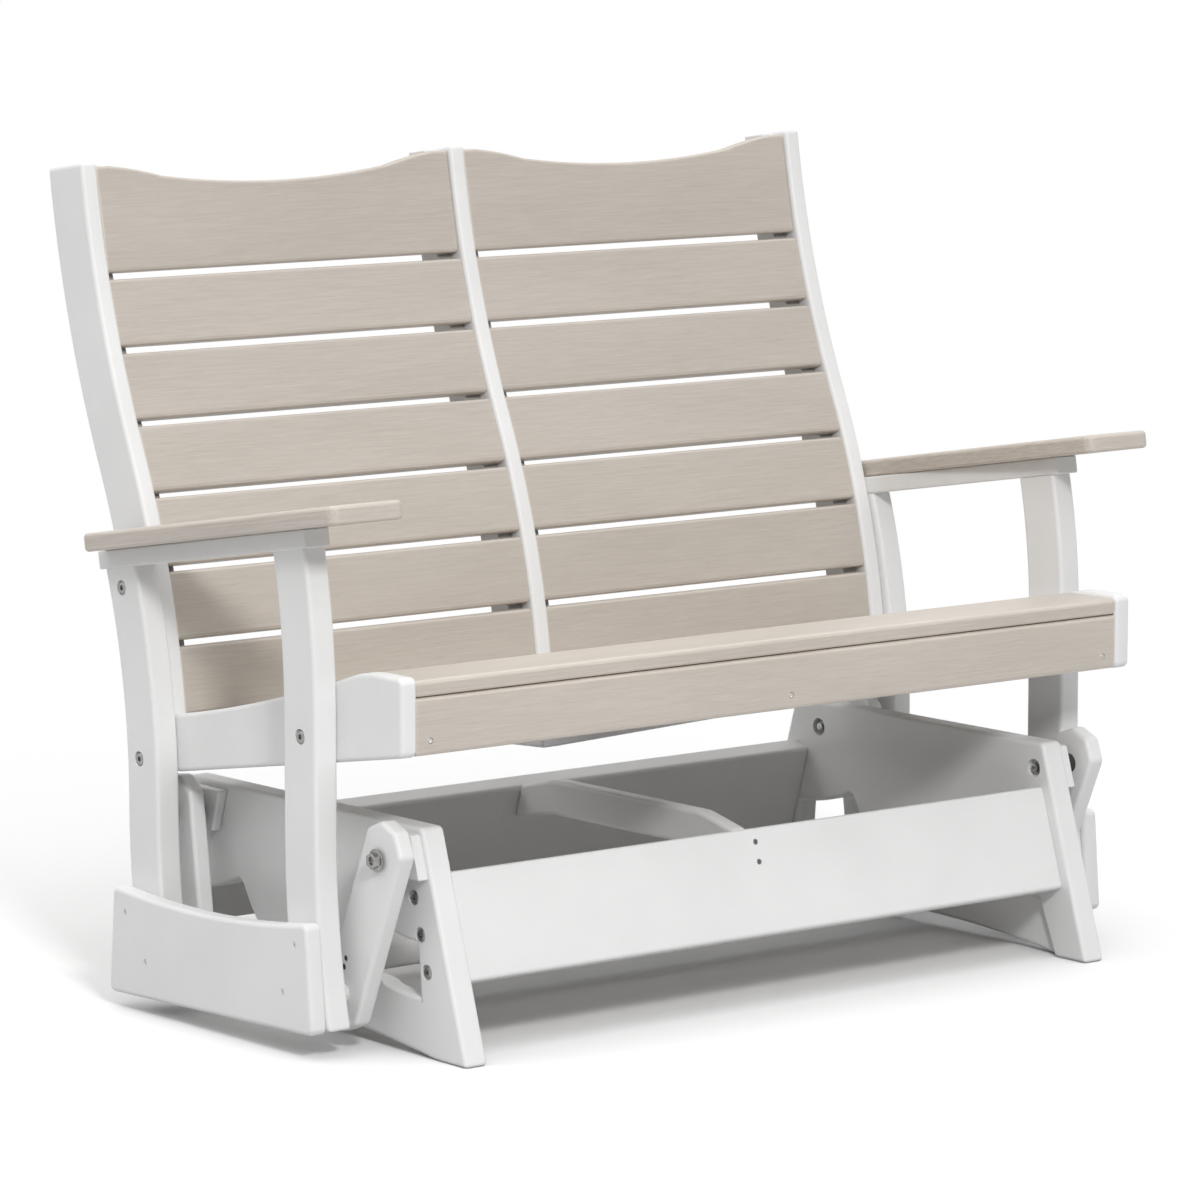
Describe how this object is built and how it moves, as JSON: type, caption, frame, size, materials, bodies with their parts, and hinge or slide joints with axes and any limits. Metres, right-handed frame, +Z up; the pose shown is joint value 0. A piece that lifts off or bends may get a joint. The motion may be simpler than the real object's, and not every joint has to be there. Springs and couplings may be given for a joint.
{
  "type": "porch glider",
  "caption": "Two-seat porch glider: slatted seat and S-curved back with arms, hung by swing links from a standing base so that it glides to and fro.",
  "frame": {"origin": "on the floor, under the centre of the overall box", "axes": "+X across the seat to the right as seen from the front, +Y from front to rear, +Z up"},
  "size_m": [1.422, 0.8364, 1.126],
  "materials": {
    "white_board": "white poly lumber with a fine sawn grain",
    "taupe_board": "warm grey-beige poly lumber with a fine lengthwise grain",
    "bush": "dark bearing plastic",
    "stainless": "stainless steel fasteners"
  },
  "bodies": {
    "base": {"base_bottom_rail_left": "white_board", "base_bottom_rail_right": "white_board", "base_center_brace": "white_board", "base_front_rail": "white_board", "base_rear_rail": "white_board", "base_side_left": "white_board", "base_side_right": "white_board", "base_stretcher": "white_board", "pivot_spacers": "white_board", "upper_pivot_bolts": "stainless", "upper_pivot_nuts": "stainless"},
    "link_front_left": {"link_front_left": "white_board", "link_bushes_front_left": "bush"},
    "link_front_right": {"link_front_right": "white_board", "link_bushes_front_right": "bush"},
    "link_rear_left": {"link_rear_left": "white_board", "link_bushes_rear_left": "bush"},
    "link_rear_right": {"link_rear_right": "white_board", "link_bushes_rear_right": "bush"},
    "seat": {"arm_post_front_left": "white_board", "arm_post_front_right": "white_board", "arm_post_rear_left": "white_board", "arm_post_rear_right": "white_board", "arm_support_left": "white_board", "arm_support_right": "white_board", "armrest_left": "taupe_board", "armrest_right": "taupe_board", "back_cleats": "white_board", "back_post_center": "white_board", "back_post_left": "white_board", "back_post_right": "white_board", "back_slat_row_2": "taupe_board", "back_slat_row_3": "taupe_board", "back_slat_row_4": "taupe_board", "back_slat_row_5": "taupe_board", "back_slat_row_6": "taupe_board", "back_slat_row_7": "taupe_board", "back_top_slat_left": "taupe_board", "back_top_slat_right": "taupe_board", "lower_board_left": "white_board", "lower_board_right": "white_board", "lower_pivot_bolts": "stainless", "lower_pivot_nuts": "stainless", "seat_apron": "taupe_board", "seat_center_support": "white_board", "seat_cleats": "white_board", "seat_side_left": "white_board", "seat_side_right": "white_board", "seat_slat_2": "taupe_board", "seat_slat_3": "taupe_board", "seat_slat_4": "taupe_board", "seat_slat_5": "taupe_board", "seat_slat_6": "taupe_board", "seat_slat_front": "taupe_board"}
  },
  "joints": [
    {"name": "front_left_swing", "type": "hinge", "parent": "base", "child": "link_front_left", "pos_m": [-0.6045, -0.30819, 0.263], "axis": [1, 0, 0], "range_deg": [-10, 10]},
    {"name": "front_right_swing", "type": "hinge", "parent": "base", "child": "link_front_right", "pos_m": [0.6045, -0.30819, 0.263], "axis": [1, 0, 0], "range_deg": [-10, 10]},
    {"name": "rear_left_swing", "type": "hinge", "parent": "base", "child": "link_rear_left", "pos_m": [-0.6045, 0.15481, 0.263], "axis": [1, 0, 0], "range_deg": [-9.2, 9.2]},
    {"name": "rear_right_swing", "type": "hinge", "parent": "base", "child": "link_rear_right", "pos_m": [0.6045, 0.15481, 0.263], "axis": [1, 0, 0], "range_deg": [-9.2, 9.2]},
    {"name": "seat_tilt", "type": "hinge", "parent": "link_front_left", "child": "seat", "pos_m": [-0.6045, -0.22848, 0.07522], "axis": [1, 0, 0], "range_deg": [-13, 13]}
  ],
  "couplings": [
    {"joint": "front_right_swing", "follows": "front_left_swing", "ratio": 1},
    {"joint": "rear_left_swing", "follows": "front_left_swing", "ratio": 0.9071},
    {"joint": "rear_right_swing", "follows": "front_left_swing", "ratio": 0.9071},
    {"joint": "seat_tilt", "follows": "front_left_swing", "ratio": -1.291}
  ]
}
